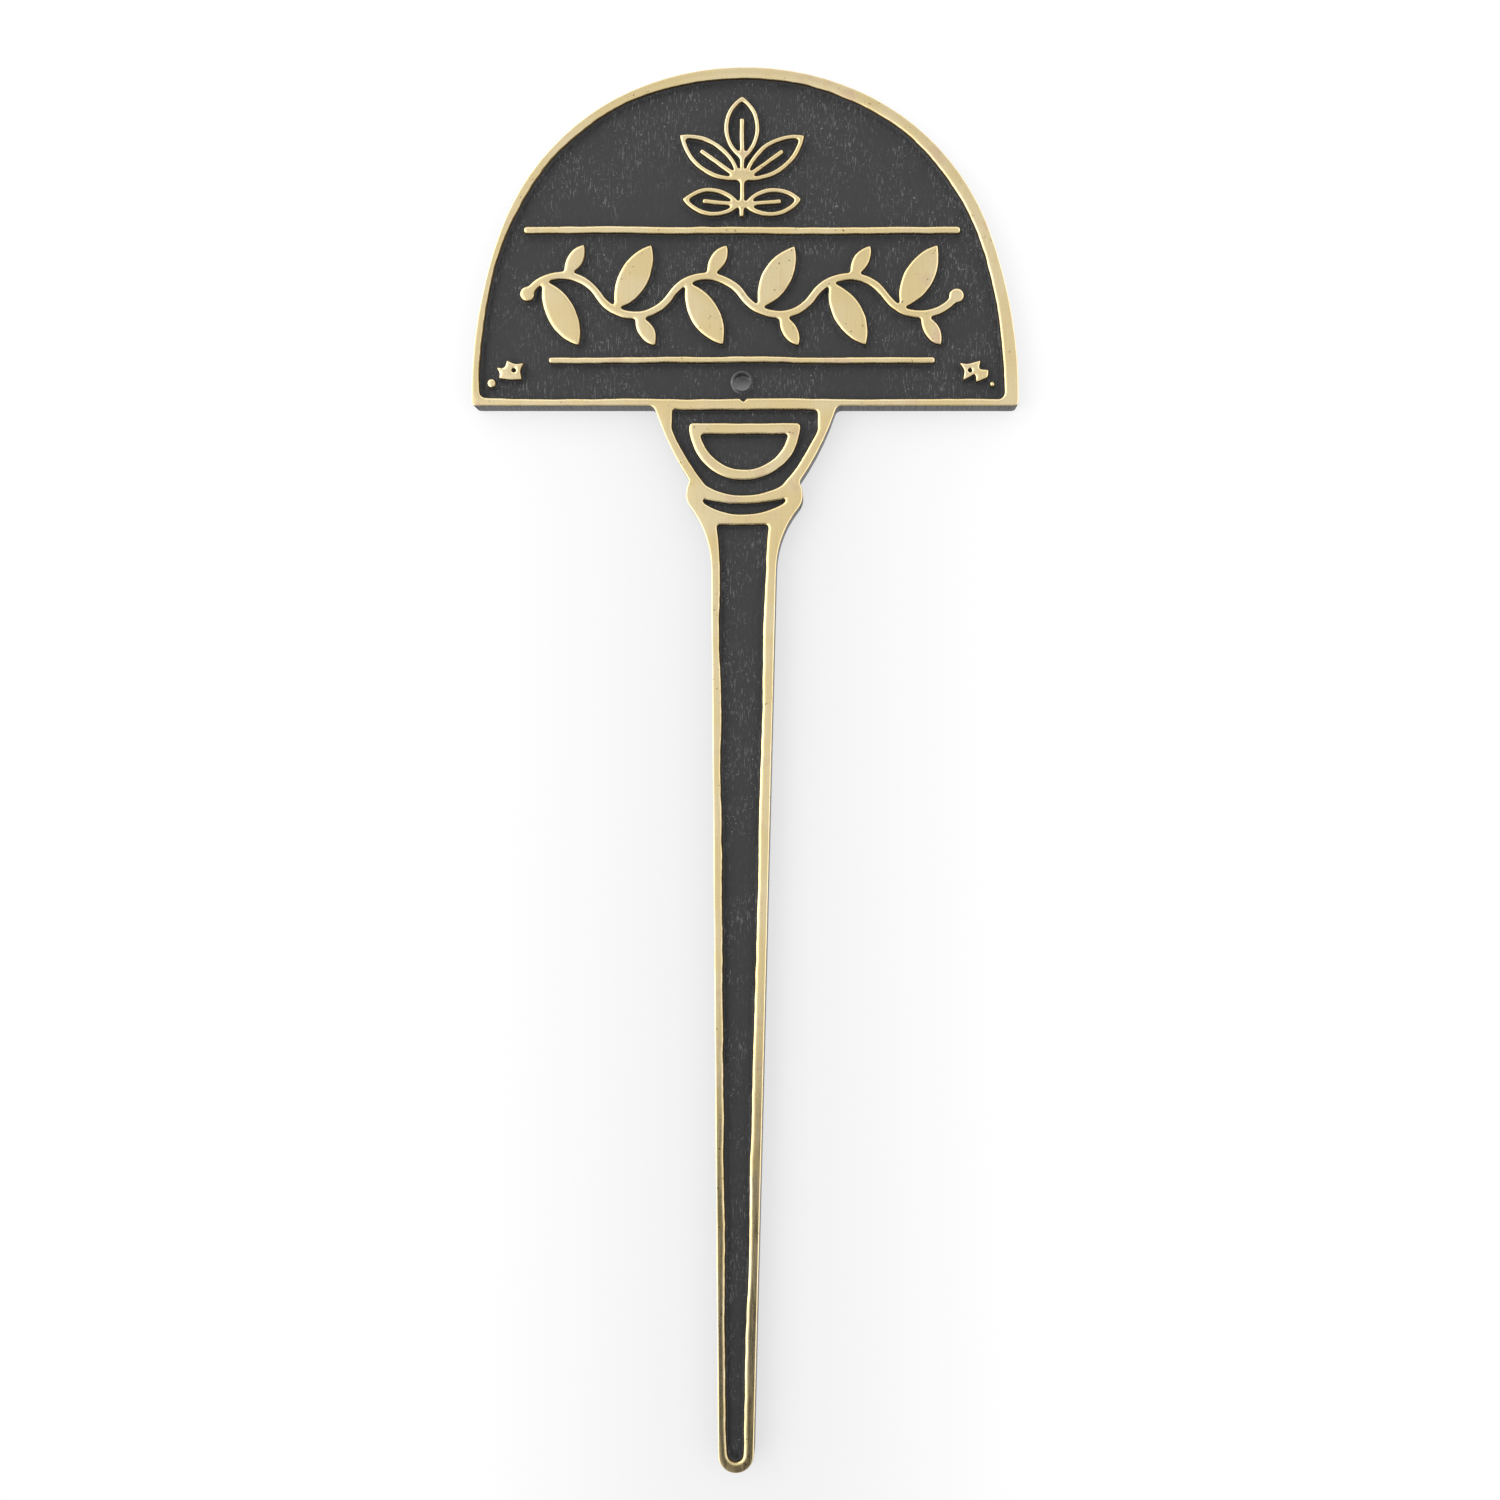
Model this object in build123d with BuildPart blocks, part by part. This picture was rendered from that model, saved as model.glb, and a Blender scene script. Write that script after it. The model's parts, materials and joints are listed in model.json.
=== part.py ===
from build123d import *
import os

# Cast brass plant marker: a half-round plate on a goblet neck and a long flat stake, with black enamel.
# The marker stands upright in this model. Z runs up the stake, the relief faces -Y, and the flat back
# lies on Y = 0. The origin is on the back, at the soil line, below the middle of the plate.

os.makedirs("parts", exist_ok=True)

# Overall sizes
overall_length = 300.0
buried_length = 120.0
plate_width = 116.5
plate_height = 72.0

# Thicknesses, from the back to the front
enamel_thickness = 0.2
base_thickness = 2.4
relief_height = 1.6
edge_round = 0.5
relief_round = 0.3
overrun = 1.0

# Outline of the half-round plate, as shares of its half width and of its height below the top
crown_end_shares = (0.419, 0.072)
shoulder_end_shares = (0.895, 0.485)
plate_corner_round = 0.6
crown_rim = 2.3
foot_rim = 1.5
field_corner_round = 1.2
field_shift = 0.7

# Rules across the plate, lengths as shares of its width and places as shares of its height
upper_rule_thickness = 1.35
upper_rule_length_share = 0.803
upper_rule_rise_share = 0.519
lower_rule_thickness = 1.2
lower_rule_length_share = 0.711
lower_rule_rise_share = 0.133

# Star flower and bead in each lower corner. They are cut by hand, so the two corners differ
star_radius = 3.3
star_eye_radius = 0.4
star_reach_share = 0.85
star_rise_share = 0.101
bead_reach_share = 0.918
bead_rise_share = 0.063
left_bead_radius = 1.05
right_bead_radius = 0.7
# Corners of each star flower in turn, and the place of its eye, as shares of the star's radius
left_star_shares = (
    (0.97, 0.56),
    (0.27, 0.46),
    (-0.25, 0.72),
    (-0.4, 0.18),
    (-0.98, 0.24),
    (-0.72, -0.22),
    (-0.8, -0.56),
    (0.06, -0.66),
    (0.8, -0.6),
    (0.66, -0.02),
)
left_eye_shares = (0.22, 0.02)
right_star_shares = (
    (1.04, 0.14),
    (0.4, 0.16),
    (0.56, 0.76),
    (-0.4, 0.5),
    (-1.02, 0.6),
    (-0.62, 0.04),
    (-0.76, -0.72),
    (0.1, -0.2),
    (0.12, -0.8),
    (0.98, -0.44),
)
right_eye_shares = (-0.22, 0.06)

# Screw hole under the lower rule
hole_radius = 2.0
hole_rise_share = 0.071

# Running vine between the rules, one leaf inside and one outside each wave
vine_waves = 6
vine_stem = 1.9
vine_gap = 3.0
wave_height_share = 0.19
vine_end_share = 0.9
# Each leaf: its base and its tip as shares of the wave's length and the vine's height, and its bow
vine_leaf_shares = (
    ((-0.28, 0.14), (0.24, -0.5), 0.15),
    ((0.02, 0.19), (0.3, 0.5), 0.085),
)

# Leaf sprig in the crown of the plate, drawn in line
sprig_line = 1.2
sprig_foot_gap = 2.0
sprig_top_gap = 3.6
sprig_stem_share = 0.46
# Each leaf: where it leaves the stem, its length, its width (shares of the sprig's height), its angle
sprig_leaf_shares = (
    (0.46, 0.54, 0.3, 0.0),
    (0.3, 0.64, 0.27, 54.0),
    (0.3, 0.64, 0.27, -54.0),
    (0.1, 0.5, 0.24, 84.0),
    (0.1, 0.5, 0.24, -84.0),
)
sprig_vein_share = 0.66

# Goblet neck and its collar
neck_width = 39.4
neck_height = 16.3
neck_bow = 0.75
neck_root = 1.0
neck_root_round = 1.5
waist_width = 23.0
waist_round = 0.6
collar_height = 5.4
collar_proud = 0.8
collar_crest_share = 0.6
flare_height = 13.3

# Flat stake
stake_lean = 0.5
shoulder_width = 13.5
tip_width = 7.3
stake_rib = 2.0
tip_rim = 3.2
channel_shift = 0.25
channel_top_flare = 0.7

# Recess of the neck and the half-round ring in it
neck_bridge = 1.1
neck_rim = 4.2
neck_wall = 4.0
neck_field_bow = 0.5
waist_rim = 3.3
neck_field_sag = 2.2
neck_field_sink = 0.7
ring_gap = 3.4
ring_top_gap = 2.55
ring_wall = 1.5
ring_foot_gap = 3.0
ring_band = 2.6
ring_corner_round = 1.0

# Crescent groove of the collar
collar_band = 2.1
groove_depth = 2.0
groove_top_sag = 1.1
groove_end = 0.8
groove_rim = 3.4
shoulder_band = 2.5

# Worked out from the sizes above
plate_half = plate_width / 2
casting_thickness = base_thickness + relief_height
plate_foot_height = overall_length - buried_length - plate_height
stake_length = overall_length - plate_height
field_half = plate_half - crown_rim
field_top = plate_height - crown_rim

# Every sketch of the casting lies on a plane that faces the front, with its origin at the plate's foot
back_plane = Plane(origin=(0, 0, plate_foot_height), x_dir=(1, 0, 0), z_dir=(0, -1, 0))
casting_plane = back_plane.offset(enamel_thickness)
floor_plane = casting_plane.offset(base_thickness)
plate_floor_origin = floor_plane.from_local_coords(Vector(-field_shift, 0))
plate_floor_plane = Plane(plate_floor_origin, x_dir=(1, 0, 0), z_dir=(0, -1, 0))
stake_x_dir = Vector(1, 0, 0).rotate(Axis.Y, stake_lean)
stake_plane = Plane(back_plane.origin, x_dir=stake_x_dir, z_dir=(0, -1, 0))
stake_floor_plane = Plane(floor_plane.origin, x_dir=stake_x_dir, z_dir=(0, -1, 0))
channel_origin = stake_floor_plane.from_local_coords(Vector(-channel_shift, 0))
channel_plane = Plane(channel_origin, x_dir=stake_x_dir, z_dir=(0, -1, 0))


def half_round(half_width, foot, top):
    """Face of the half-round plate, or of its recess."""
    height = top - foot
    crown_end = (half_width * crown_end_shares[0], top - height * crown_end_shares[1])
    shoulder_end = (half_width * shoulder_end_shares[0], top - height * shoulder_end_shares[1])
    with BuildSketch() as face:
        with BuildLine():
            crown = TangentArc((0, top), crown_end, tangent=(1, 0))
            shoulder = TangentArc(crown @ 1, shoulder_end, tangent=crown % 1)
            TangentArc(shoulder @ 1, (half_width, foot), tangent=shoulder % 1)
            Line((half_width, foot), (0, foot))
            mirror(about=Plane.YZ)
        make_face()
    return face.sketch


plate_face = half_round(plate_half, 0, plate_height)
plate_field_face = half_round(field_half, foot_rim, field_top)

# Outline of the stake and neck, on their own leaning axis
neck_half = neck_width / 2
waist_half = waist_width / 2
collar_foot = neck_height + collar_height
shoulder_drop = collar_foot + flare_height
shoulder_half = shoulder_width / 2
tip_half = tip_width / 2

with BuildSketch() as stake_outline:
    with BuildLine():
        Line((0, neck_root), (neck_half, neck_root))
        SagittaArc((neck_half, neck_root), (waist_half, -neck_height), neck_bow)
        taper = Line((tip_half, tip_half - stake_length), (shoulder_half, -shoulder_drop))
        flare = TangentArc(taper @ 1, (waist_half, -collar_foot), tangent=taper % 1)
        collar_crest = (waist_half + collar_proud, -(neck_height + collar_height * collar_crest_share))
        collar = TangentArc(flare @ 1, collar_crest, tangent=flare % 1)
        TangentArc(collar @ 1, (waist_half, -neck_height), tangent=collar % 1)
        TangentArc((0, -stake_length), taper @ 0, tangent=(1, 0))
        mirror(about=Plane.YZ)
    make_face()

# Outline of the whole casting
with BuildSketch(casting_plane) as outline:
    add(plate_face)
    add(stake_outline.sketch, rotation=-stake_lean)


def slab(face, grow, height):
    """Slab on the outline, or on the outline grown by a coat, with its upright corners rounded."""
    corners = [
        (back_plane, plate_half, 0, plate_corner_round + grow),
        (back_plane, neck_half, 0, neck_root_round - grow),
        (stake_plane, waist_half, -neck_height, waist_round - grow),
    ]
    with BuildPart() as body:
        extrude(face, amount=height)
        for plane, across, up, radius in corners:
            for side in (-1, 1):
                corner = plane.from_local_coords(Vector(side * across, up))
                fillet(body.edges().filter_by(Axis.Y).sort_by_distance(corner)[0], radius)
    return body.part


# Plain blank of the casting, rounded over along its front edge
casting_slab = slab(outline.sketch, 0, casting_thickness)
with BuildPart() as blank:
    add(casting_slab)
    fillet(blank.faces().sort_by(Axis.Y)[0].outer_wire().edges(), edge_round)



def star_flower(corner_shares, eye_shares):
    """Star flower with an eye, about its own middle."""
    corners = [(star_radius * across, star_radius * up) for across, up in corner_shares]
    with BuildSketch() as flower:
        Polygon(*corners, align=None)
        with Locations((star_radius * eye_shares[0], star_radius * eye_shares[1])):
            Circle(star_eye_radius, mode=Mode.SUBTRACT)
    return flower.sketch


# Side of the plate, star flower and bead of each lower corner
corner_ornaments = [
    (-1, star_flower(left_star_shares, left_eye_shares), left_bead_radius),
    (1, star_flower(right_star_shares, right_eye_shares), right_bead_radius),
]

# Running vine: a waved stem, with one leaf in the hollow and one on the crest of each wave
upper_rule_rise = plate_height * upper_rule_rise_share
lower_rule_rise = plate_height * lower_rule_rise_share
upper_rule_length = plate_width * upper_rule_length_share
lower_rule_length = plate_width * lower_rule_length_share
vine_height = upper_rule_rise - lower_rule_rise - 2 * vine_gap
wave_length = (upper_rule_length - vine_stem) / vine_waves
wave_height = vine_height * wave_height_share

with BuildLine() as vine_line:
    for n in range(vine_waves):
        start = wave_length * (n - vine_waves / 2)
        crest = wave_height if n % 2 == 0 else -wave_height
        ThreePointArc((start, 0), (start + wave_length / 2, crest), (start + wave_length, 0))

with BuildSketch() as vine:
    trace(vine_line.line, line_width=vine_stem)
    with GridLocations(wave_length * vine_waves, 0, 2, 1):
        Circle(vine_stem * vine_end_share)
    for n in range(vine_waves):
        middle = wave_length * (n - (vine_waves - 1) / 2)
        upright = vine_height if n % 2 == 0 else -vine_height
        for base_shares, tip_shares, bow_share in vine_leaf_shares:
            base = (middle + wave_length * base_shares[0], upright * base_shares[1])
            tip = (middle + wave_length * tip_shares[0], upright * tip_shares[1])
            with BuildLine():
                SagittaArc(base, tip, vine_height * bow_share)
                SagittaArc(base, tip, -vine_height * bow_share)
            make_face()

# Leaf sprig in the crown, every leaf drawn as an outline with a vein
sprig_foot = upper_rule_rise + upper_rule_thickness / 2 + sprig_foot_gap
sprig_height = field_top - sprig_top_gap - sprig_foot


def outlined_leaf(length, width):
    """Outline of a pointed leaf along X, from its base at the origin, with a short vein."""
    with BuildSketch() as blade:
        with BuildLine():
            SagittaArc((0, 0), (length, 0), width / 2)
            SagittaArc((0, 0), (length, 0), -width / 2)
        make_face()
        offset(amount=-sprig_line, mode=Mode.SUBTRACT)
        with Locations((length * sprig_vein_share / 2, 0)):
            Rectangle(length * sprig_vein_share, sprig_line)
    return blade.sketch


sprig_leaves = [
    (sprig_height * base, outlined_leaf(sprig_height * length, sprig_height * width), angle)
    for base, length, width, angle in sprig_leaf_shares
]
with BuildSketch() as sprig:
    Rectangle(sprig_line, sprig_height * sprig_stem_share, align=(Align.CENTER, Align.MIN))
    for base, blade, angle in sprig_leaves:
        with Locations((0, base)):
            add(blade, rotation=90 - angle)

# Recess of the plate: the half round within the rim, less everything that stands up in it
with BuildSketch(plate_floor_plane) as plate_field:
    add(plate_field_face)
    fillet(plate_field.vertices().group_by(Axis.Y)[0], field_corner_round)
    with Locations((0, upper_rule_rise)):
        SlotOverall(upper_rule_length, upper_rule_thickness, mode=Mode.SUBTRACT)
    with Locations((0, lower_rule_rise)):
        SlotOverall(lower_rule_length, lower_rule_thickness, mode=Mode.SUBTRACT)
    with Locations((0, (upper_rule_rise + lower_rule_rise) / 2)):
        add(vine.sketch, mode=Mode.SUBTRACT)
    with Locations((0, sprig_foot)):
        add(sprig.sketch, mode=Mode.SUBTRACT)
    for side, flower, bead_radius in corner_ornaments:
        with Locations((side * plate_half * star_reach_share, plate_height * star_rise_share)):
            add(flower, mode=Mode.SUBTRACT)
        with Locations((side * plate_half * bead_reach_share, plate_height * bead_rise_share)):
            Circle(bead_radius, mode=Mode.SUBTRACT)

# Recess of the neck, with the half-round ring standing in it, and the recess inside the ring
neck_field_half = neck_half - neck_rim
neck_field_drop = neck_height + neck_field_sink + neck_field_sag
neck_low_corner = (waist_half - waist_rim, -(neck_height + neck_field_sink))
neck_wall_foot = (neck_field_half, -(neck_bridge + neck_wall))
ring_half = neck_field_half - ring_gap
ring_top = -(neck_bridge + ring_top_gap)

ring_shoulder = ring_top - ring_wall
ring_foot = ring_foot_gap - neck_field_drop

with BuildSketch() as ring_face:
    with BuildLine():
        Polyline((0, ring_top), (ring_half, ring_top), (ring_half, ring_shoulder))
        mirror(about=Plane.YZ)
        ThreePointArc((ring_half, ring_shoulder), (0, ring_foot), (-ring_half, ring_shoulder))
    make_face()

with BuildSketch(stake_floor_plane) as ring_field:
    add(ring_face.sketch)
    offset(amount=-ring_band)

with BuildSketch(stake_floor_plane) as neck_field:
    with BuildLine():
        Line((0, -neck_bridge), (neck_field_half, -neck_bridge))
        Line((neck_field_half, -neck_bridge), neck_wall_foot)
        SagittaArc(neck_wall_foot, neck_low_corner, neck_field_bow)
        mirror(about=Plane.YZ)
        mirrored_corner = (-neck_low_corner[0], neck_low_corner[1])
        ThreePointArc(neck_low_corner, (0, -neck_field_drop), mirrored_corner)
    make_face()
    add(ring_face.sketch, mode=Mode.SUBTRACT)
    for side in (-ring_half, ring_half):
        fillet(neck_field.vertices().sort_by_distance((side, ring_top))[0], ring_corner_round)

# Crescent groove of the collar
groove_half = waist_half + collar_proud - groove_rim
groove_top = -(neck_field_drop + collar_band)
groove_bottom = groove_top - groove_depth
groove_rise = groove_top + groove_top_sag
low_half = groove_half - groove_end / 2
low_rise = groove_rise - groove_end
with BuildSketch(stake_floor_plane) as collar_groove:
    with BuildLine():
        Line((groove_half, groove_rise), (low_half, low_rise))
        mirror(about=Plane.YZ)
        ThreePointArc((groove_half, groove_rise), (0, groove_top), (-groove_half, groove_rise))
        ThreePointArc((low_half, low_rise), (0, groove_bottom), (-low_half, low_rise))
    make_face()

# Long channel of the stake, one rib inside its outline
channel_top = groove_bottom - shoulder_band
channel_half = shoulder_half - stake_rib
channel_tip_half = tip_half - stake_rib
channel_end = tip_rim - stake_length
channel_corner = (channel_half + channel_top_flare, channel_top)
with BuildSketch(channel_plane) as stake_channel:
    with BuildLine():
        taper_start = (channel_tip_half, channel_end + channel_tip_half)
        channel_taper = Line(taper_start, (channel_half, -shoulder_drop))
        TangentArc(channel_taper @ 1, channel_corner, tangent=channel_taper % 1)
        Line(channel_corner, (0, channel_top))
        TangentArc((0, channel_end), channel_taper @ 0, tangent=(1, 0))
        mirror(about=Plane.YZ)
    make_face()

# Screw hole, bored from the front through the casting, its fill and its back coat
hole_point = Vector(0, plate_height * hole_rise_share, relief_height + overrun)
hole_place = Plane(plate_floor_plane.from_local_coords(hole_point), (1, 0, 0), (0, -1, 0))

# The casting: the blank, less the recesses and the screw hole. What stands up in the recesses is
# rounded over, except the three largest faces: the rim, the vine and the sprig
with BuildPart() as brass_casting:
    add(blank.part)
    for recess in (plate_field, neck_field, ring_field, collar_groove, stake_channel):
        extrude(recess.sketch, amount=relief_height + overrun, mode=Mode.SUBTRACT)
    front_faces = brass_casting.faces().filter_by(Axis.Y).group_by(Axis.Y)[0]
    plain_islands = front_faces.sort_by(SortBy.AREA)[:-3]
    fillet(plain_islands.edges(), relief_round)
    with Locations(hole_place):
        Hole(hole_radius)

# Black enamel on the floor of each recess
fills = {
    "plate_enamel": plate_field,
    "neck_enamel": neck_field,
    "ring_enamel": ring_field,
    "collar_enamel": collar_groove,
    "stake_enamel": stake_channel,
}
for name, recess in fills.items():
    with BuildPart() as enamel:
        extrude(recess.sketch, amount=enamel_thickness)
        if recess is plate_field:
            with Locations(hole_place):
                Hole(hole_radius)
    enamel.part.label = name
    export_step(enamel.part, f"parts/{name}.step")

# Black coat over the back and round the edges, as far as the rounding of the front
with BuildSketch(back_plane) as coat_outline:
    add(plate_face)
    add(stake_outline.sketch, rotation=-stake_lean)
    offset(amount=enamel_thickness, kind=Kind.INTERSECTION)

coat_depth = enamel_thickness + casting_thickness - edge_round
coat_slab = slab(coat_outline.sketch, enamel_thickness, coat_depth)
with BuildPart() as back_enamel:
    add(coat_slab)
    add(casting_slab, mode=Mode.SUBTRACT)
    with Locations(hole_place):
        Hole(hole_radius)

brass_casting.part.label = "brass_casting"
export_step(brass_casting.part, "parts/brass_casting.step")
back_enamel.part.label = "back_enamel"
export_step(back_enamel.part, "parts/back_enamel.step")
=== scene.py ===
import itertools
import json
import math

import bmesh
import bpy
from mathutils import Matrix, Vector, geometry, kdtree, noise


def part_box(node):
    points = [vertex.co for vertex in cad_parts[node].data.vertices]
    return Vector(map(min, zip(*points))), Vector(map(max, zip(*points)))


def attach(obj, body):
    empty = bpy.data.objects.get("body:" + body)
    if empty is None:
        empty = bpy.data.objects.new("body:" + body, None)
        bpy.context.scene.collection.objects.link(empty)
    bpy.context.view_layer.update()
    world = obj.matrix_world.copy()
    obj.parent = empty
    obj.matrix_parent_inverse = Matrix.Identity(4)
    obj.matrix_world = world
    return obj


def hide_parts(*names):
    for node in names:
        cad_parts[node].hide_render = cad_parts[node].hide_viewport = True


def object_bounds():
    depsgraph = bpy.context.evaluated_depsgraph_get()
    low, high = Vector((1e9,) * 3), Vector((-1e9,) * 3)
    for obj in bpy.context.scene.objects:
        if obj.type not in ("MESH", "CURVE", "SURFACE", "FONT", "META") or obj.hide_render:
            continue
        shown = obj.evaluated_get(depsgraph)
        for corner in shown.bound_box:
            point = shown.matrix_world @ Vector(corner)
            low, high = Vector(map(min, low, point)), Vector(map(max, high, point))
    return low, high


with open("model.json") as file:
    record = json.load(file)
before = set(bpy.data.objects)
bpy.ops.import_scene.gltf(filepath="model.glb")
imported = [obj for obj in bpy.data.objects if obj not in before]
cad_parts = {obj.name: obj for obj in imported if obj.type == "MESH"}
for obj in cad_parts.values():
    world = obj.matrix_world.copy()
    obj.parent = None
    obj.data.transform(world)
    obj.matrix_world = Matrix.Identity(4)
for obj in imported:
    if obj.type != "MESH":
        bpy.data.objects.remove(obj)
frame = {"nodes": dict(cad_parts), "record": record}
cad_low, cad_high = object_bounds()

# Camera: square on to the front of the marker, level with the middle of its length and a little to the
# right. It is near enough to see the underside of the plate, the right side of the stake and the upper
# wall of the screw hole.
mm = 0.001
framed_width = 320.05 * mm
framed_middle = Vector((1.07 * mm, cad_low.y, 34.3 * mm))
camera_distance = 250 * mm
camera_right = 18 * mm

camera_data = bpy.data.cameras.new("camera")
camera_data.lens = camera_data.sensor_width * camera_distance / framed_width
camera_data.shift_x = -camera_right / framed_width
camera = bpy.data.objects.new("camera", camera_data)
camera.location = framed_middle + Vector((camera_right, -camera_distance, 0))
camera.rotation_euler = (math.radians(90), 0, 0)
bpy.context.scene.collection.objects.link(camera)
bpy.context.scene.camera = camera
bpy.context.scene.view_settings.view_transform = "Standard"

# Studio: a pale room, brighter at both sides and overhead, and dimmer below and straight in front, which
# draws pale lines along the rounded edges of the brass. The lower end of the stake reflects a dark card
# that stands behind the camera and below it. The camera doesn't see the card from any side.
room_strength = 1.0
left_extra = 1.5
left_starts = -0.32
left_full = -0.68
right_extra = 0.9
right_starts = 0.50
right_full = 0.80
above_extra = 0.4
below_strength = 0.6
height_starts = 0.35
height_full = 0.80
front_strength = 0.90
front_starts = 0.50
front_full = 0.85
# In front and higher up, where the top of the rim reflects it, the room is dimmer still
top_strength = 0.72
top_starts = 0.42
top_full = 0.52
card_place = (0, -0.36, -0.39)
card_width = 0.24
card_height = 0.49
card_grey = 0.06


def put(tree, kind, inputs=(), **settings):
    """Shader node with its settings, and its inputs set to values or joined to other nodes' outputs."""
    made = tree.nodes.new(kind)
    for key, value in settings.items():
        setattr(made, key, value)
    for key, value in dict(inputs).items():
        if isinstance(value, bpy.types.NodeSocket):
            tree.links.new(value, made.inputs[key])
        else:
            made.inputs[key].default_value = value
    return made


def ramp(tree, value, low, high, low_out=0.0, high_out=1.0):
    """Soft step from one output to another while a value goes from low to high."""
    step = {"Value": value, "From Min": low, "From Max": high, "To Min": low_out, "To Max": high_out}
    return put(tree, "ShaderNodeMapRange", step, interpolation_type="SMOOTHSTEP").outputs["Result"]


def times(tree, first, second):
    """Product of two values."""
    return put(tree, "ShaderNodeMath", {0: first, 1: second}, operation="MULTIPLY").outputs["Value"]


def plus(tree, first, second):
    """Sum of two values."""
    return put(tree, "ShaderNodeMath", {0: first, 1: second}, operation="ADD").outputs["Value"]


def either(tree, share, first, second):
    """Shader that goes from a first one to a second one with a share."""
    both = {0: share, 1: first.outputs[0], 2: second.outputs[0]}
    return put(tree, "ShaderNodeMixShader", both).outputs[0]


def seen_by_camera(tree):
    """Whether it is the camera that looks at a surface, and no reflection or light."""
    return put(tree, "ShaderNodeLightPath").outputs["Is Camera Ray"]


world = bpy.data.worlds.new("studio_room")
bpy.context.scene.world = world
world.use_nodes = True
room = world.node_tree
room.nodes.clear()
ray = put(room, "ShaderNodeTexCoord").outputs["Generated"]
ray_parts = put(room, "ShaderNodeSeparateXYZ", {"Vector": ray})
across = ray_parts.outputs["X"]
up = ray_parts.outputs["Z"]
ahead = times(room, ray_parts.outputs["Y"], -1)
left_side = ramp(room, across, left_full, left_starts, left_extra, 0)
right_side = ramp(room, across, right_starts, right_full, 0, right_extra)
above = ramp(room, up, height_starts, height_full, 0, above_extra)
below = ramp(room, up, -height_full, -height_starts, below_strength, room_strength)
all_round = plus(room, right_side, plus(room, above, below))
front = ramp(room, up, top_starts, top_full, front_strength, top_strength)
strength = plus(room, ramp(room, ahead, front_starts, front_full, all_round, front), left_side)
room_light = put(room, "ShaderNodeBackground", {"Color": (1, 1, 1, 1), "Strength": strength})
room_white = put(room, "ShaderNodeBackground", {"Color": (1, 1, 1, 1), "Strength": 1.0})
surface = either(room, seen_by_camera(room), room_light, room_white)
put(room, "ShaderNodeOutputWorld", {"Surface": surface})


def bare_paint(name):
    """Material with no shader yet, and its nodes."""
    paint = bpy.data.materials.new(name)
    paint.use_nodes = True
    paint.node_tree.nodes.clear()
    return paint, paint.node_tree


def upright_sheet(name, place, width, height, paint):
    """Flat sheet that faces the front, as a part of the studio."""
    mesh = bpy.data.meshes.new(name)
    bm = bmesh.new()
    bmesh.ops.create_grid(bm, x_segments=1, y_segments=1, size=0.5)
    bmesh.ops.scale(bm, verts=bm.verts, vec=(width, height, 1))
    bmesh.ops.rotate(bm, verts=bm.verts, matrix=Matrix.Rotation(math.radians(90), 3, "X"))
    bmesh.ops.translate(bm, verts=bm.verts, vec=place)
    bm.to_mesh(mesh)
    bm.free()
    mesh.materials.append(paint)
    sheet = bpy.data.objects.new(name, mesh)
    bpy.context.scene.collection.objects.link(sheet)


card_paint, tree = bare_paint("dark_card")
matt = put(tree, "ShaderNodeBsdfDiffuse", {"Color": (card_grey, card_grey, card_grey, 1)})
clear = put(tree, "ShaderNodeBsdfTransparent")
surface = either(tree, seen_by_camera(tree), matt, clear)
put(tree, "ShaderNodeOutputMaterial", {"Surface": surface})
upright_sheet("dark_card", card_place, card_width, card_height, card_paint)

# Table: pale and plain, with the marker lying on it on its back, so that the camera sees it square on.
# Only the camera sees it, and only from the front, so it hides nothing from behind. Near the stake it is
# a little greyer, as a painted shadow, and where the screw hole shows it, it carries painted shade.
table_side = 1.6
table_gap = 0.1 * mm
table_grey = 0.24
table_glow = 0.74
# Painted shadow near the stake: how much greyer, how far out to the sides, and the levels over which
# this fades
near_shadow_depth = 0.13
near_reach = 85 * mm
fade_low = 100 * mm
fade_high = 180 * mm
# Painted shade in the hole: its glow at the lower and at the upper edge, and how far round the hole this
# holds
hole_low_glow = 0.21
hole_high_glow = 0.0
covered_radius = 3.0 * mm
covered_blur = 1.2 * mm
screw_hole = next(m for m in frame["record"]["mounts"] if m["name"] == "screw_hole")
hole_centre = Vector(screw_hole["pos_m"])


def from_hole(tree):
    """Distance of a surface from the middle line of the screw hole, and the way from there to it."""
    place = put(tree, "ShaderNodeTexCoord").outputs["Object"]
    centred = {"Vector": place, "Location": (-hole_centre.x, 0, -hole_centre.z), "Scale": (1, 0, 1)}
    way = put(tree, "ShaderNodeMapping", centred).outputs["Vector"]
    return put(tree, "ShaderNodeVectorMath", {0: way}, operation="LENGTH").outputs["Value"], way


table_paint, tree = bare_paint("pale_table")
away, way = from_hole(tree)
above_hole = put(tree, "ShaderNodeSeparateXYZ", {"Vector": way}).outputs["Z"]
# Painted shade behind the screw hole: the glow is cut, most at the top of the hole
hole_shade_glow = ramp(tree, above_hole, -covered_radius, covered_radius, hole_low_glow, hole_high_glow)
place = put(tree, "ShaderNodeTexCoord").outputs["Object"]
place_parts = put(tree, "ShaderNodeSeparateXYZ", {"Vector": place}).outputs
beside = put(tree, "ShaderNodeMath", {0: place_parts["X"]}, operation="ABSOLUTE").outputs["Value"]
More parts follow.
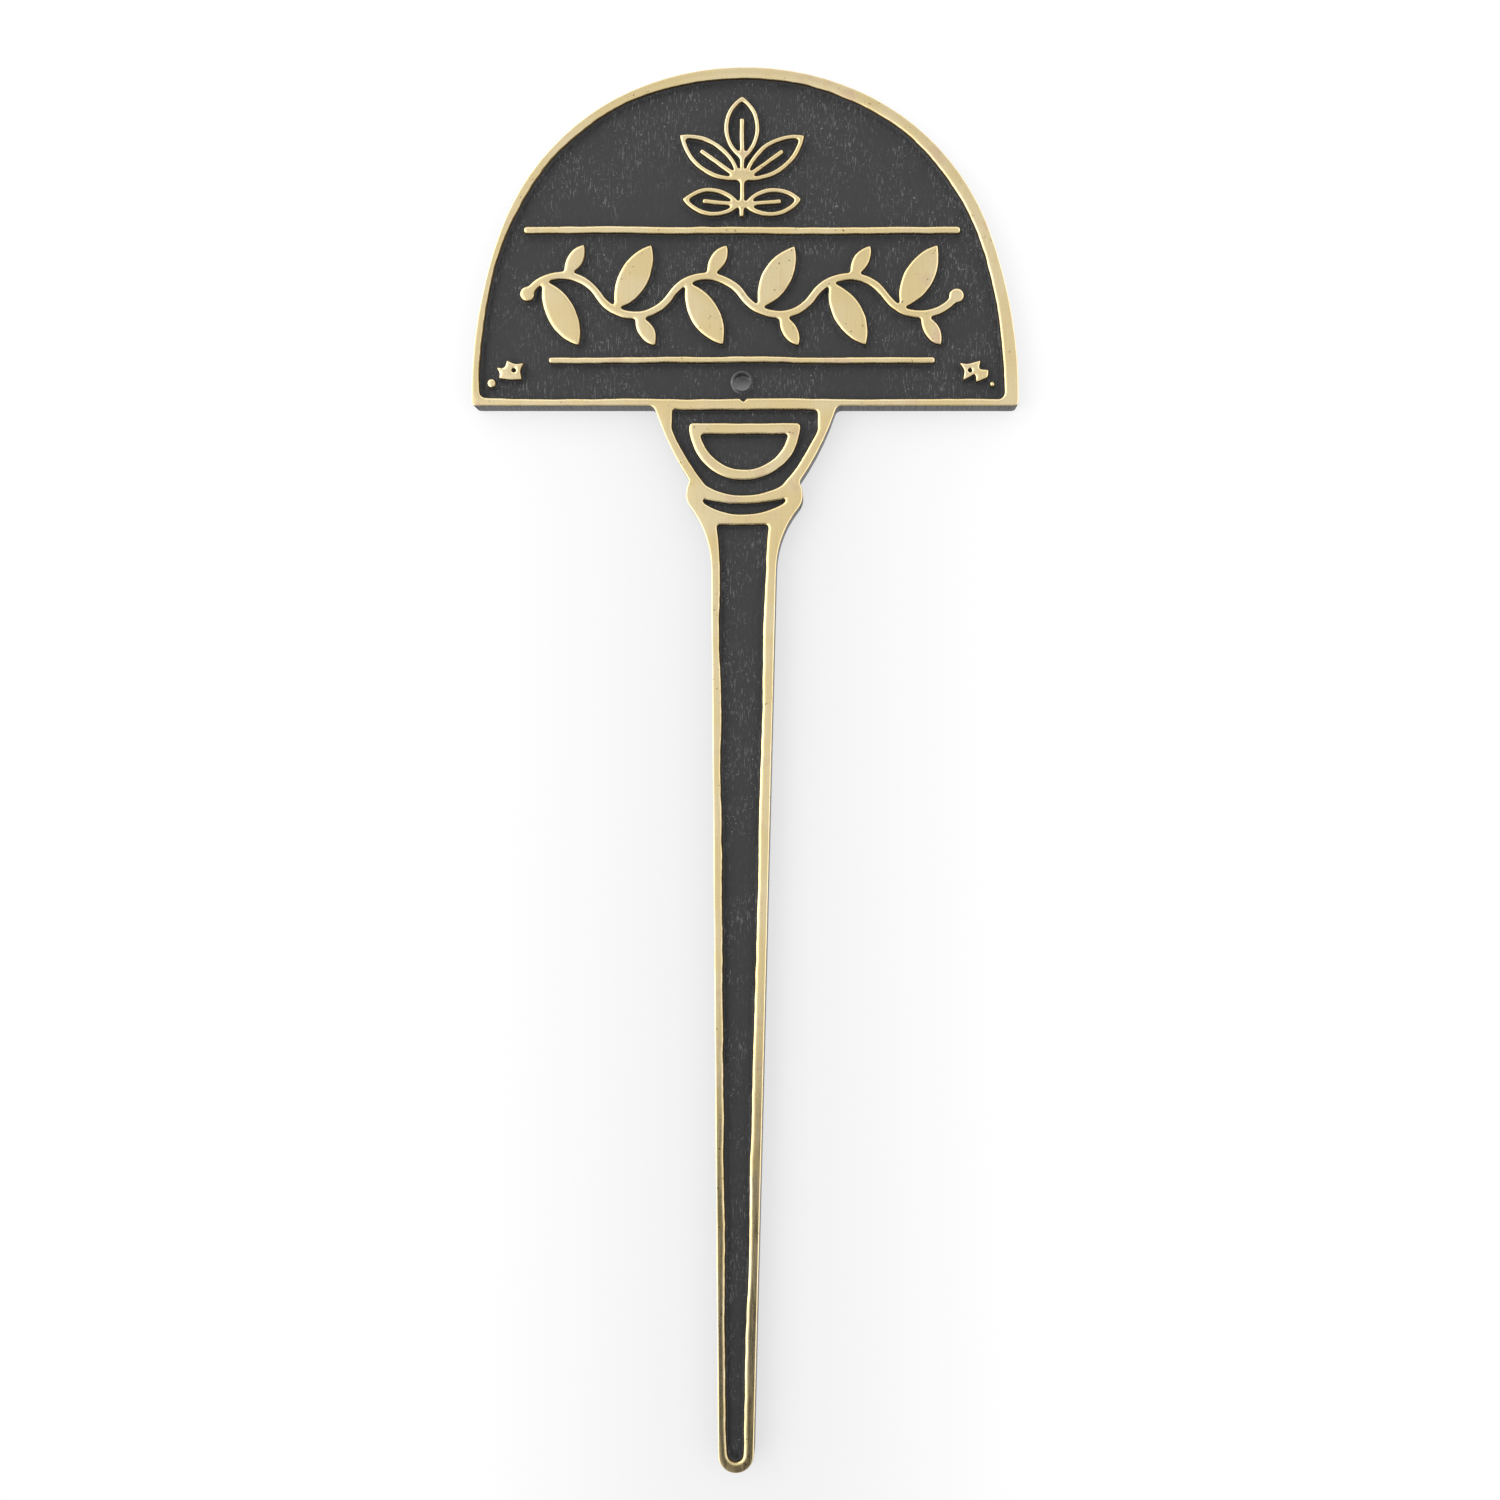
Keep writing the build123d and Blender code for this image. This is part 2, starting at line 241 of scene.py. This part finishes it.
# Painted shadow: the glow is lowered round the stake and fades out towards the plate
dimmer = ramp(tree, place_parts["Z"], fade_low, fade_high, -near_shadow_depth, 0)
open_glow = plus(tree, ramp(tree, beside, 0, near_reach, dimmer, 0), table_glow)
glow_strength = ramp(tree, away, covered_radius, covered_radius + covered_blur, hole_shade_glow, open_glow)
matt = put(tree, "ShaderNodeBsdfDiffuse", {"Color": (table_grey, table_grey, table_grey, 1)})
glow = put(tree, "ShaderNodeEmission", {"Color": (1, 1, 1, 1), "Strength": glow_strength})
both = put(tree, "ShaderNodeAddShader", {0: matt.outputs[0], 1: glow.outputs[0]})
clear = put(tree, "ShaderNodeBsdfTransparent")
behind = put(tree, "ShaderNodeNewGeometry").outputs["Backfacing"]
seen_in_front = {0: seen_by_camera(tree), 1: behind}
shown = put(tree, "ShaderNodeMath", seen_in_front, operation="SUBTRACT").outputs["Value"]
put(tree, "ShaderNodeOutputMaterial", {"Surface": either(tree, shown, clear, both)})
table_place = (framed_middle.x, cad_high.y + table_gap, framed_middle.z)
upright_sheet("table_top", table_place, table_side, table_side, table_paint)

# Casting: plate, neck, collar and stake with their relief, sand cast in one piece of brass. Its recesses
# were cut by hand in the pattern, so their edges waver. The front was ground and polished after it had
# been painted, which rounded the tops of the relief over and bared the rim as far as its outer edge.
edge_step = 0.35 * mm
edge_merge = 0.12 * mm
edge_smoothing = 3
smoothing_factor = 0.5
cut_drift = 0.3 * mm
cut_drift_length = 16 * mm
cut_wobble = 0.1 * mm
cut_wobble_length = 3.2 * mm
hole_wobble = 0.12 * mm
hole_wobble_length = 1.5 * mm
# The outer edge was dressed, and keeps only a share of the waver
outer_edge_share = 0.03
# The two rules, which came out a little fatter than the pattern: the level of each, and half its length
rules = ((117.58 * mm, 42.0 * mm), (145.37 * mm, 47.3 * mm))
rule_reach = 0.8 * mm
rule_stretch = 1.3
# The channel in the stake reaches a little nearer to the tip than in the pattern
stretched_below = -60 * mm
channel_stretch = 0.016
# A nick in the rim at the foot of the plate
nick_place = -0.4 * mm
nick_half = 0.7 * mm
nick_depth = 0.7 * mm
# Rounding of the relief's edge: how far in from the edge, and how far above the wall
wall_height = 1.05 * mm
round_over = (
    (0.08 * mm, 0.17 * mm),
    (0.18 * mm, 0.29 * mm),
    (0.33 * mm, 0.395 * mm),
    (0.51 * mm, 0.475 * mm),
    (0.75 * mm, 0.53 * mm),
    (1.08 * mm, 0.55 * mm),
)
round_share = 0.95
rim_narrowing = 0.3
sharp_angle = math.radians(50)
same_place = 0.001 * mm
flat_facing = 0.99
fill_tolerance = 1e-6
towards_camera = Vector((0, -1, 0))
noise.seed_set(2)

hole_radius = screw_hole["dims"]["r_mm"] * mm
hole_reach = 1.2 * hole_radius
enamel_nodes = ["plate_enamel", "neck_enamel", "ring_enamel", "collar_enamel", "stake_enamel"]
recess_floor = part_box("plate_enamel")[1].y
recess_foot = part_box("plate_enamel")[0].z
front_level = recess_floor - wall_height
casting_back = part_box("brass_casting")[1].y


def by_hole(point):
    """Whether a point is on the wall of the screw hole."""
    return math.hypot(point.x - hole_centre.x, point.z - hole_centre.z) < hole_reach


def node_outline(node, share=1.0, with_hole=True):
    """Closed outlines of a CAD node's flat back, as wire edges, wavering as if cut by hand."""
    bm = bmesh.new()
    bm.from_mesh(frame["nodes"][node].data)
    bmesh.ops.remove_doubles(bm, verts=bm.verts, dist=same_place)
    bmesh.ops.delete(bm, geom=[f for f in bm.faces if f.normal.y < flat_facing], context="FACES")
    inner = [e for e in bm.edges if not e.is_boundary]
    bmesh.ops.delete(bm, geom=list(bm.faces), context="FACES_ONLY")
    bmesh.ops.delete(bm, geom=inner, context="EDGES")
    if not with_hole:
        bmesh.ops.delete(bm, geom=[v for v in bm.verts if by_hole(v.co)], context="VERTS")
    if node == "stake_enamel":
        for v in bm.verts:
            v.co.z += min(0, v.co.z - stretched_below) * channel_stretch
    for level, half_length in rules:
        for v in bm.verts:
            if abs(v.co.z - level) < rule_reach and abs(v.co.x - hole_centre.x) < half_length:
                v.co.z = level + (v.co.z - level) * rule_stretch
    bmesh.ops.remove_doubles(bm, verts=[v for v in bm.verts if not by_hole(v.co)], dist=edge_merge)
    longest = max(e.calc_length() for e in bm.edges)
    for cuts in range(1, int(longest / edge_step) + 1):
        long_edges = [e for e in bm.edges if int(e.calc_length() / edge_step) == cuts]
        bmesh.ops.bisect_edges(bm, edges=long_edges, cuts=cuts)
    cut_by_hand = [v for v in bm.verts if not by_hole(v.co)]
    for _ in range(edge_smoothing):
        bmesh.ops.smooth_vert(
            bm, verts=cut_by_hand, factor=smoothing_factor, use_axis_x=True, use_axis_z=True
        )
    for v in bm.verts:
        v.co.y = 0
    for v in cut_by_hand:
        drift = noise.noise_vector(v.co / cut_drift_length) * cut_drift
        wobble = noise.noise_vector(v.co / cut_wobble_length) * cut_wobble
        v.co += (drift + wobble) * share
    for v in bm.verts:
        if by_hole(v.co):
            v.co += noise.noise_vector(v.co / hole_wobble_length) * hole_wobble
    for v in bm.verts:
        v.co.y = recess_floor
        beside_nick = abs(v.co.x - nick_place) / nick_half
        if node == "plate_enamel" and beside_nick < 1 and v.co.z < recess_foot + 2 * nick_depth:
            v.co.z -= nick_depth * (1 - beside_nick)
    outline = bpy.data.meshes.new(node + "_outline")
    bm.to_mesh(outline)
    bm.free()
    return outline


def triangles_between(edges, extra=()):
    """Corners of the triangles between nested outlines, some of them at extra points between these."""
    corners = list(dict.fromkeys(v for e in edges for v in e.verts))
    number = {v: n for n, v in enumerate(corners)}
    outline = [tuple(number[v] for v in e.verts) for e in edges]
    corners.extend(extra)
    places = [Vector((v.co.x, v.co.z)) / mm for v in corners]
    made = geometry.delaunay_2d_cdt(places, outline, [], 1, fill_tolerance)
    triangles = [tuple(made[3][n][0] for n in triangle) for triangle in made[2]]
    outline = {frozenset(side) for side in outline}
    sharing = {}
    for triangle in triangles:
        for side in itertools.combinations(triangle, 2):
            sharing.setdefault(frozenset(side), []).append(triangle)
    # Whether a triangle is kept turns over at each outline, starting inside the outermost one
    kept = {both[0]: True for both in sharing.values() if len(both) == 1}
    reached = list(kept)
    for triangle in reached:
        for side in itertools.combinations(triangle, 2):
            side = frozenset(side)
            for other in sharing[side]:
                if other not in kept:
                    kept[other] = kept[triangle] != (side in outline)
                    reached.append(other)
    return [[corners[n] for n in triangle] for triangle in triangles if kept[triangle]]


def fill_between(bm, edges):
    """Flat faces between nested outlines."""
    return [bm.faces.new(corners) for corners in triangles_between(edges)]


def grow_walls(bm, edges, level):
    """Upright walls from outlines to a level, and returns the outlines at that level."""
    grown = bmesh.ops.extrude_edge_only(bm, edges=edges)["geom"]
    moved = {g for g in grown if isinstance(g, bmesh.types.BMVert)}
    for v in moved:
        v.co.y = level
    return [e for e in bm.edges if moved.issuperset(e.verts)]


def verts_of(parts):
    """Every vertex of some edges or faces, once."""
    return list(dict.fromkeys(v for part in parts for v in part.verts))


def ways_in(bm, edges):
    """Direction from each vertex of nested outlines into the area that they bound."""
    outline = set(edges)
    following = {}
    for corners in triangles_between(edges):
        for first, second in zip(corners, corners[1:] + corners[:1]):
            if bm.edges.get((first, second)) in outline:
                following[first] = second
    before = {second: first for first, second in following.items()}
    along = {v: after.co - before[v].co for v, after in following.items()}
    return {v: towards_camera.cross(way).normalized() for v, way in along.items()}


def round_tops(bm, rim_edges, relief_edges):
    """Tops of the relief on its walls: ground flat, and rounded over at the edges, less at the rim."""
    edges = rim_edges + relief_edges
    at_rim = set(verts_of(rim_edges))
    inwards = ways_in(bm, edges)
    edge_points = kdtree.KDTree(len(inwards))
    for n, v in enumerate(inwards):
        edge_points.insert(v.co, n)
    edge_points.balance()
    tops = []
    for v, way_in in inwards.items():
        for inward, upward in round_over:
            inward *= rim_narrowing if v in at_rim else 1
            place = v.co + way_in * inward
            if edge_points.find(place)[2] > round_share * inward:
                tops.append(bm.verts.new(place + towards_camera * upward))
    for corners in triangles_between(edges, tops):
        bm.faces.new(corners)
    bmesh.ops.delete(bm, geom=[v for v in tops if not v.link_faces], context="VERTS")


def mesh_of(bm):
    """Mesh from a bmesh, with smooth faces that all look outwards."""
    for f in bm.faces:
        f.smooth = True
    bmesh.ops.recalc_face_normals(bm, faces=bm.faces)
    mesh = bpy.data.meshes.new("mesh")
    bm.to_mesh(mesh)
    bm.free()
    return mesh


def new_piece(name, mesh, node, finish):
    """Piece of the marker with its mesh and finish, in place of the CAD node that it stands for."""
    mesh.name = name
    mesh.materials.clear()
    mesh.materials.append(finish)
    mesh.set_sharp_from_angle(angle=sharp_angle)
    piece = bpy.data.objects.new(name, mesh)
    bpy.context.scene.collection.objects.link(piece)
    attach(piece, "root")
    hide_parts(node)
    return piece


def blend(tree, share, first, second):
    """Colour that goes from a first one to a second one with a share."""
    colours = {0: share, 6: first, 7: second}
    return put(tree, "ShaderNodeMix", colours, data_type="RGBA").outputs[2]


def place_in_mm(tree):
    """Place on the marker in millimetres, for the textures of a material."""
    place = put(tree, "ShaderNodeTexCoord").outputs["Object"]
    measured = {"Vector": place, "Scale": (1 / mm, 1 / mm, 1 / mm)}
    return put(tree, "ShaderNodeMapping", measured).outputs["Vector"]


def waves(tree, place, size, detail=2.0):
    """Soft noise with waves of a size in millimetres."""
    settings = {"Vector": place, "Scale": 1 / size, "Detail": detail}
    return put(tree, "ShaderNodeTexNoise", settings).outputs[0]


def upright_marks(tree, place, width, stretch):
    """Noise drawn out into upright marks of a width in millimetres."""
    drawn_out = {"Vector": place, "Scale": (1, 1, stretch)}
    return waves(tree, put(tree, "ShaderNodeMapping", drawn_out).outputs["Vector"], width)


def bumps(tree, height, depth, under=None):
    """Normal of a surface with bumps of a depth, on top of the bumps under them."""
    inputs = {"Height": height, "Distance": depth}
    if under:
        inputs["Normal"] = under
    return put(tree, "ShaderNodeBump", inputs).outputs["Normal"]


# Grain that the mould's sand leaves, shared by the brass and the enamel: its height, and sparse specks
grain_detail = 4
speck_band = (0.64, 0.72)

cast_grain = bpy.data.node_groups.new("cast_grain", "ShaderNodeTree")
cast_grain.interface.new_socket("Vector", in_out="INPUT", socket_type="NodeSocketVector")
cast_grain.interface.new_socket("Grain Size", in_out="INPUT", socket_type="NodeSocketFloat")
cast_grain.interface.new_socket("Speck Size", in_out="INPUT", socket_type="NodeSocketFloat")
cast_grain.interface.new_socket("Height", in_out="OUTPUT", socket_type="NodeSocketFloat")
cast_grain.interface.new_socket("Specks", in_out="OUTPUT", socket_type="NodeSocketFloat")
given = put(cast_grain, "NodeGroupInput").outputs


def sand_of(size):
    """Fine noise of the size that an input of the grain gives."""
    scale = put(cast_grain, "ShaderNodeMath", {0: 1, 1: given[size]}, operation="DIVIDE")
    settings = {"Vector": given["Vector"], "Scale": scale.outputs["Value"], "Detail": grain_detail}
    return put(cast_grain, "ShaderNodeTexNoise", settings).outputs[0]


specks = ramp(cast_grain, sand_of("Speck Size"), *speck_band)
put(cast_grain, "NodeGroupOutput", {"Height": sand_of("Grain Size"), "Specks": specks})


def grain(tree, place, grain_size, speck_size):
    """The shared grain in a material, with its sizes in millimetres."""
    made = tree.nodes.new("ShaderNodeGroup")
    made.node_tree = cast_grain
    tree.links.new(place, made.inputs["Vector"])
    made.inputs["Grain Size"].default_value = grain_size
    made.inputs["Speck Size"].default_value = speck_size
    return made.outputs["Height"], made.outputs["Specks"]


# Polished brass, in clouds of two golds: the sizes of its textures in millimetres, and the bands of
# their noise over which each sets in
gold = (0.77, 0.62, 0.33, 1)
pale_gold = (0.80, 0.67, 0.41, 1)
cloud_size = 11
cloud_band = (0.38, 0.62)
# Upright marks of the polishing
rubbed_gold = (0.68, 0.53, 0.26, 1)
mark_width = 0.4
mark_stretch = 0.06
mark_band = (0.42, 0.75)
mark_share = 0.5
smooth_roughness = 0.22
rubbed_roughness = 0.32
roughness_band = (0.3, 0.7)
# Patches of pink tarnish
tarnish = (0.66, 0.45, 0.30, 1)
tarnish_size = 5.5
tarnish_detail = 3.0
tarnish_band = (0.56, 0.72)
tarnish_share = 0.45
# Pits and swells that the casting left
pit_brown = (0.11, 0.075, 0.045, 1)
pit_size = 0.8
pitted_size = 8
pitted_band = (0.50, 0.62)
swell_size = 3.5
swell_depth = 0.02 * mm
brass_grain_size = 0.35
brass_grain_depth = 0.004 * mm
# Dark brown line at the foot of the rounding, partly lacquer at the paint's edge and partly painted
# shade along the edge of the relief: its levels and its waver in millimetres, and how much higher it
# climbs, as painted shade, on edges that face right
lacquer_and_shade = (0.095, 0.060, 0.024, 1)
line_foot = -3.92
line_head = -4.01
line_size = 2.0
line_waver = 0.05
waver_band = (0.3, 0.7)
right_edge_shade = 0.05
right_shade_band = (0.1, 0.6)

brass = bpy.data.materials.new("brass")
brass.use_nodes = True
tree = brass.node_tree
brass_skin = tree.nodes["Principled BSDF"]
place = place_in_mm(tree)
marks = upright_marks(tree, place, mark_width, mark_stretch)
height, pits = grain(tree, place, brass_grain_size, pit_size)
clouds = ramp(tree, waves(tree, place, cloud_size), *cloud_band)
patches = ramp(tree, waves(tree, place, tarnish_size, tarnish_detail), *tarnish_band, 0, tarnish_share)
pitted = ramp(tree, waves(tree, place, pitted_size), *pitted_band)
level = put(tree, "ShaderNodeSeparateXYZ", {"Vector": place}).outputs["Y"]
waver = ramp(tree, waves(tree, place, line_size), *waver_band, -line_waver / 2, line_waver / 2)
# Edges that face right get a higher dark line, as painted shade
facing = put(tree, "ShaderNodeNewGeometry").outputs["Normal"]
facing_right = put(tree, "ShaderNodeSeparateXYZ", {"Vector": facing}).outputs["X"]
waver = plus(tree, waver, ramp(tree, facing_right, *right_shade_band, 0, right_edge_shade))
# Dark line at the foot of the rounding: part lacquer, part painted shade along the relief's edge
line = ramp(tree, plus(tree, level, waver), line_head, line_foot)
colour = blend(tree, clouds, gold, pale_gold)
colour = blend(tree, ramp(tree, marks, *mark_band, 0, mark_share), colour, rubbed_gold)
colour = blend(tree, patches, colour, tarnish)
colour = blend(tree, times(tree, pits, pitted), colour, pit_brown)
colour = blend(tree, line, colour, lacquer_and_shade)
swell = bumps(tree, waves(tree, place, swell_size), swell_depth)
roughness = ramp(tree, marks, *roughness_band, smooth_roughness, rubbed_roughness)
tree.links.new(colour, brass_skin.inputs["Base Color"])
tree.links.new(roughness, brass_skin.inputs["Roughness"])
tree.links.new(bumps(tree, height, brass_grain_depth, swell), brass_skin.inputs["Normal"])
brass_skin.inputs["Metallic"].default_value = 1.0

recess_outlines = {node: node_outline(node) for node in enamel_nodes}
casting_outline = node_outline("brass_casting", outer_edge_share, with_hole=False)
coat_outline = node_outline("back_enamel", outer_edge_share, with_hole=False)

bm = bmesh.new()
for outline in recess_outlines.values():
    bm.from_mesh(outline)
recess_edges = list(bm.edges)
relief_edges = [e for e in recess_edges if not by_hole(e.verts[0].co)]
hole_edges = [e for e in recess_edges if by_hole(e.verts[0].co)]
in_recesses = set(recess_edges)
bm.from_mesh(casting_outline)
outer_edges = [e for e in bm.edges if e not in in_recesses]
fill_between(bm, recess_edges)
fill_between(bm, grow_walls(bm, outer_edges + hole_edges, casting_back))
relief_tops = grow_walls(bm, relief_edges, front_level)
side_tops = grow_walls(bm, outer_edges, front_level)
below_rim = set(bm.edges)
bm.from_mesh(coat_outline)
rim_edges = [e for e in bm.edges if e not in below_rim]
bmesh.ops.translate(bm, verts=verts_of(rim_edges), vec=towards_camera * wall_height)
fill_between(bm, side_tops + rim_edges)
round_tops(bm, rim_edges, relief_tops)
marker_casting = new_piece("marker_casting", mesh_of(bm), "brass_casting", brass)

# Enamel in the recesses: black paint over the sandy floor that the mould left. It climbs the walls as
# far as the ground front, and it also lines the screw hole.
film_thickness = 0.2 * mm
lip_width = 0.1 * mm
sand_bed_depth = 6 * mm
sand_step = 0.7 * mm
lump_height = 0.05 * mm
lump_length = 2.2 * mm
grit_height = 0.035 * mm
grit_length = 0.8 * mm
upright_facing = 0.5
black = (0.030, 0.030, 0.031, 1)
recess_roughness = 0.62
enamel_sheen = 0.30
enamel_grain_size = 0.5
enamel_grain_depth = 0.05 * mm
# Worn fibres and dusty specks, thicker in some places than in others
worn_grey = (0.13, 0.13, 0.135, 1)
dusty_grey = (0.20, 0.20, 0.205, 1)
fibre_width = 0.24
fibre_stretch = 0.16
fibre_band = (0.56, 0.74)
speck_size = 0.45
dusty_size = 9
dusty_detail = 3.0
dusty_band = (0.38, 0.62)
least_dusty = 0.1
most_dusty = 0.9
# Ring that a screw's head has worn round the hole, with a painted highlight that makes it lightest on
# its upper left
worn_radius = 2.45 * mm
worn_blur = 0.15 * mm
highlight_side = Vector((-0.87, 0, 0.5))
least_wear_and_highlight = 0.15
most_wear_and_highlight = 0.95


def black_enamel(name, colour, roughness, grain_depth):
    """Black enamel with the mould's grain under it, streaked and dusty, and worn grey round the hole,
    lightest on the ring's upper left as a painted highlight.
    """
    paint = bpy.data.materials.new(name)
    paint.use_nodes = True
    tree = paint.node_tree
    skin = tree.nodes["Principled BSDF"]
    place = place_in_mm(tree)
    height, specks = grain(tree, place, enamel_grain_size, speck_size)
    fibres = ramp(tree, upright_marks(tree, place, fibre_width, fibre_stretch), *fibre_band)
    dust = waves(tree, place, dusty_size, dusty_detail)
    dusty = ramp(tree, dust, *dusty_band, least_dusty, most_dusty)
    away, way = from_hole(tree)
    ring = ramp(tree, away, worn_radius - worn_blur, worn_radius + worn_blur, 1, 0)
    ring = times(tree, ring, ramp(tree, away, hole_radius, hole_radius + worn_blur))
    # The ring is lightest on its upper left, as a painted highlight
    towards = put(tree, "ShaderNodeVectorMath", {0: way, 1: highlight_side}, operation="DOT_PRODUCT")
    worn = ramp(tree, towards.outputs["Value"], -hole_radius, worn_radius, least_wear_and_highlight, most_wear_and_highlight)
    colour = blend(tree, times(tree, fibres, dusty), colour, worn_grey)
    colour = blend(tree, times(tree, specks, dusty), colour, dusty_grey)
    colour = blend(tree, times(tree, ring, worn), colour, dusty_grey)
    tree.links.new(colour, skin.inputs["Base Color"])
    tree.links.new(bumps(tree, height, grain_depth), skin.inputs["Normal"])
    skin.inputs["Roughness"].default_value = roughness
    skin.inputs["Specular IOR Level"].default_value = enamel_sheen
    return paint


def raise_faces(bm, faces, height):
    """Extrudes faces towards the camera by a height."""
    edges = list(dict.fromkeys(e for f in faces for e in f.edges))
    raised = bmesh.ops.extrude_face_region(bm, geom=faces + edges)["geom"]
    tops = [g for g in raised if isinstance(g, bmesh.types.BMFace)]
    bmesh.ops.translate(bm, verts=verts_of(tops), vec=towards_camera * height)


def draw_in(bm, faces, inward):
    """Draws the edge of flat faces in, and takes away the ring left round them."""
    for f in faces:
        f.normal = towards_camera
    ring = bmesh.ops.inset_region(
        bm, faces=faces, thickness=inward, use_boundary=True, use_even_offset=False
    )
    bmesh.ops.delete(bm, geom=ring["faces"], context="FACES")


def block(outline, back, front, inward=0.0):
    """Closed block between two levels with a closed outline, which may be drawn in a little."""
    bm = bmesh.new()
    bm.from_mesh(outline)
    faces = fill_between(bm, list(bm.edges))
    if inward:
        draw_in(bm, faces, inward)
    bmesh.ops.translate(bm, verts=bm.verts, vec=(0, back - recess_floor, 0))
    raise_faces(bm, list(bm.faces), back - front)
    return mesh_of(bm)


def sand_bed(low, high, level, step):
    """Closed slab in front of a level, whose back has the lumps and grit of the mould's sand."""
    bm = bmesh.new()
    across = int((high.x - low.x) / step) + 2
    along = int((high.z - low.z) / step) + 2
    middle = (low + high) / 2
    bmesh.ops.create_grid(bm, x_segments=across, y_segments=along, size=0.5)
    bmesh.ops.scale(bm, verts=bm.verts, vec=(across * step, along * step, 1))
    bmesh.ops.rotate(bm, verts=bm.verts, matrix=Matrix.Rotation(math.radians(90), 3, "X"))
    bmesh.ops.translate(bm, verts=bm.verts, vec=(middle.x, level, middle.z))
    sandy = list(bm.verts)
    raise_faces(bm, list(bm.faces), sand_bed_depth)
    for v in sandy:
        lump = noise.noise(v.co / lump_length) * lump_height
        grit = noise.noise(v.co / grit_length) * grit_height
        v.co.y += lump + grit
    return mesh_of(bm)


def corners_of(mesh):
    """Lowest and highest corner of the box that a mesh fills."""
    low = Vector(min(v.co[axis] for v in mesh.vertices) for axis in range(3))
    high = Vector(max(v.co[axis] for v in mesh.vertices) for axis in range(3))
    return low, high


def combine(first, second, operation):
    """Mesh of what two closed meshes share, or of the first without the second."""
    base, tool = (bpy.data.objects.new("combined", mesh) for mesh in (first, second))
    bpy.context.scene.collection.objects.link(base)
    bpy.context.scene.collection.objects.link(tool)
    cut = base.modifiers.new("cut", "BOOLEAN")
    cut.solver = "MANIFOLD"
    cut.operation = operation
    cut.object = tool
    bpy.context.view_layer.update()
    shown = base.evaluated_get(bpy.context.evaluated_depsgraph_get())
    made = bpy.data.meshes.new_from_object(shown)
    bpy.data.objects.remove(base)
    bpy.data.objects.remove(tool)
    return made


enamel = black_enamel("recess_enamel", black, recess_roughness, enamel_grain_depth)
for node, outline in recess_outlines.items():
    low, high = corners_of(outline)
    body = block(outline, recess_floor, front_level)
    pocket = block(outline, casting_back, recess_floor - sand_bed_depth, lip_width)
    bed = sand_bed(low, high, recess_floor - film_thickness, sand_step)
    film = combine(body, combine(pocket, bed, "INTERSECT"), "DIFFERENCE")
    new_piece(node + "_film", film, node, enamel)

marker_casting.data.materials.append(enamel)
for polygon in marker_casting.data.polygons:
    if by_hole(polygon.center) and abs(polygon.normal.y) < upright_facing:
        polygon.material_index = 1

# Enamel on the back and the edges: the same paint, brushed a little smoother over the flat back as the
# sand left it, round the edges and up to the ground front. Its colour is a little lighter than the black
# in the recesses, as a painted reflection of the pale table on the underside. The screw hole goes
# through it.
lit_edge_black = (0.038, 0.038, 0.040, 1)
edge_roughness = 0.50
edge_grain_depth = enamel_grain_depth / 3
back_step = 1.0 * mm
# Room that the lumps and the grit of the back take up
back_room = 0.07 * mm
coat_back = cad_high.y - back_room

edge_enamel = black_enamel("edge_enamel", lit_edge_black, edge_roughness, edge_grain_depth)
bm = bmesh.new()
bm.from_mesh(recess_outlines["plate_enamel"])
bmesh.ops.delete(bm, geom=[v for v in bm.verts if not by_hole(v.co)], context="VERTS")
hole_outline = bpy.data.meshes.new("hole_outline")
bm.to_mesh(hole_outline)
bm.free()
coat = block(coat_outline, cad_high.y + sand_step, front_level)
coat = combine(coat, sand_bed(cad_low, cad_high, coat_back, back_step), "INTERSECT")
coat = combine(coat, block(casting_outline, casting_back, recess_floor - sand_bed_depth), "DIFFERENCE")
coat = combine(coat, block(hole_outline, cad_high.y + sand_step, recess_floor), "DIFFERENCE")
new_piece("back_coat", coat, "back_enamel", edge_enamel)
